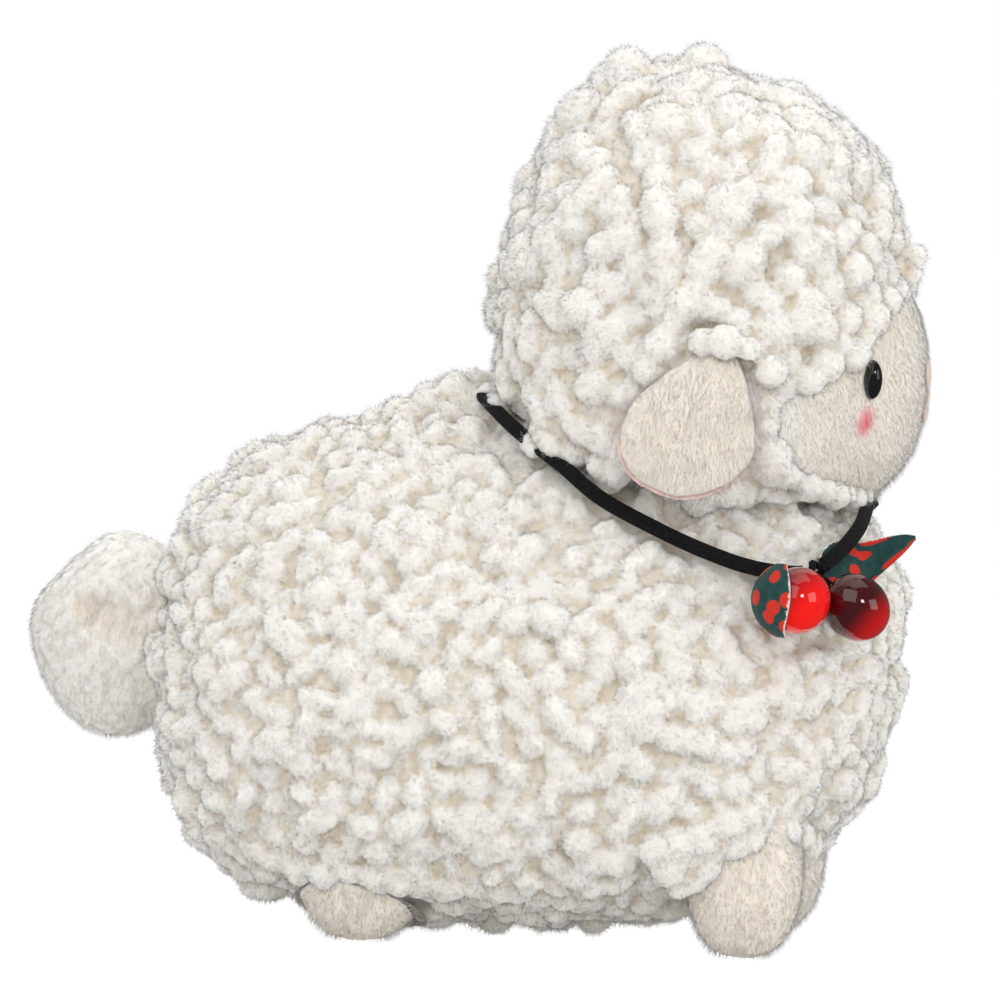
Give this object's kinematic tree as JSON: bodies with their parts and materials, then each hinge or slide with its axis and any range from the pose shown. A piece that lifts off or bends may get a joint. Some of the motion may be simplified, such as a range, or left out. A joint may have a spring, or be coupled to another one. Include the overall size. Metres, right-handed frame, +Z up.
{
  "type": "plush sheep",
  "caption": "Standing plush sheep with a curled fleece body and hood, short-pile face, ears and feet, a stuffed tail and a black neck lace with glossy cherries and cloth leaves.",
  "frame": {"origin": "on the floor under the middle of the toy, as it stands on its four feet", "axes": "+X towards the nose, +Y towards the sheep's left side, +Z up"},
  "size_m": [0.2544, 0.1495, 0.2477],
  "materials": {
    "fleece": "curled white pile fleece, matt",
    "plush": "short cream pile, matt",
    "tail_plush": "short white pile, matt",
    "ear_lining": "pink short pile, matt",
    "stuffing": "loose polyester fibre",
    "eye": "glossy",
    "washer": "matt moulded",
    "thread": "satin embroidery thread",
    "lace": "suede-like, matt",
    "bead": "high gloss",
    "far_bead": "high gloss",
    "leaf": "printed satin cloth with a frayed edge"
  },
  "bodies": {
    "sheep": {"body_cover": "fleece", "head_cover": "fleece", "face_panel": "plush", "body_stuffing": "stuffing", "head_stuffing": "stuffing", "nose_stitching": "thread", "mouth_stitching": "thread", "eye_right": "eye", "eye_left": "eye", "eye_right_washer": "washer", "eye_left_washer": "washer", "necklace_lace": "lace", "lace_knot": "lace", "leaf_far": "leaf", "foot_front_right_cover": "plush", "foot_front_right_stuffing": "stuffing", "foot_front_left_cover": "plush", "foot_front_left_stuffing": "stuffing", "foot_rear_right_cover": "plush", "foot_rear_right_stuffing": "stuffing", "foot_rear_left_cover": "plush", "foot_rear_left_stuffing": "stuffing"},
    "ear_right": {"ear_right_back": "plush", "ear_right_lining": "ear_lining"},
    "ear_left": {"ear_left_back": "plush", "ear_left_lining": "ear_lining"},
    "tail": {"tail_cover": "tail_plush", "tail_stuffing": "stuffing"},
    "near_cherry": {"cherry_near": "bead", "cherry_near_stem": "lace", "leaf_near": "leaf"},
    "far_cherry": {"cherry_far": "far_bead", "cherry_far_stem": "lace"}
  },
  "joints": [
    {"name": "ear_right_lift", "type": "hinge", "parent": "sheep", "child": "ear_right", "pos_m": [0.0765, -0.068, 0.1667], "axis": [-0.9336, 0, 0.3584], "range_deg": [0, 90]},
    {"name": "ear_left_lift", "type": "hinge", "parent": "sheep", "child": "ear_left", "pos_m": [0.0765, 0.068, 0.1667], "axis": [0.9336, 0, -0.3584], "range_deg": [0, 90]},
    {"name": "tail_wag", "type": "hinge", "parent": "sheep", "child": "tail", "pos_m": [-0.091, 0, 0.081], "axis": [0, 0, 1], "range_deg": [-20, 20]},
    {"name": "cherry_near_swing", "type": "hinge", "parent": "sheep", "child": "near_cherry", "pos_m": [0.101, -0.0508, 0.1076], "axis": [-0.8097, -0.5869, 0], "range_deg": [0, 60]},
    {"name": "cherry_far_swing", "type": "hinge", "parent": "sheep", "child": "far_cherry", "pos_m": [0.101, -0.0508, 0.1076], "axis": [-0.8097, -0.5869, 0], "range_deg": [0, 60]}
  ]
}
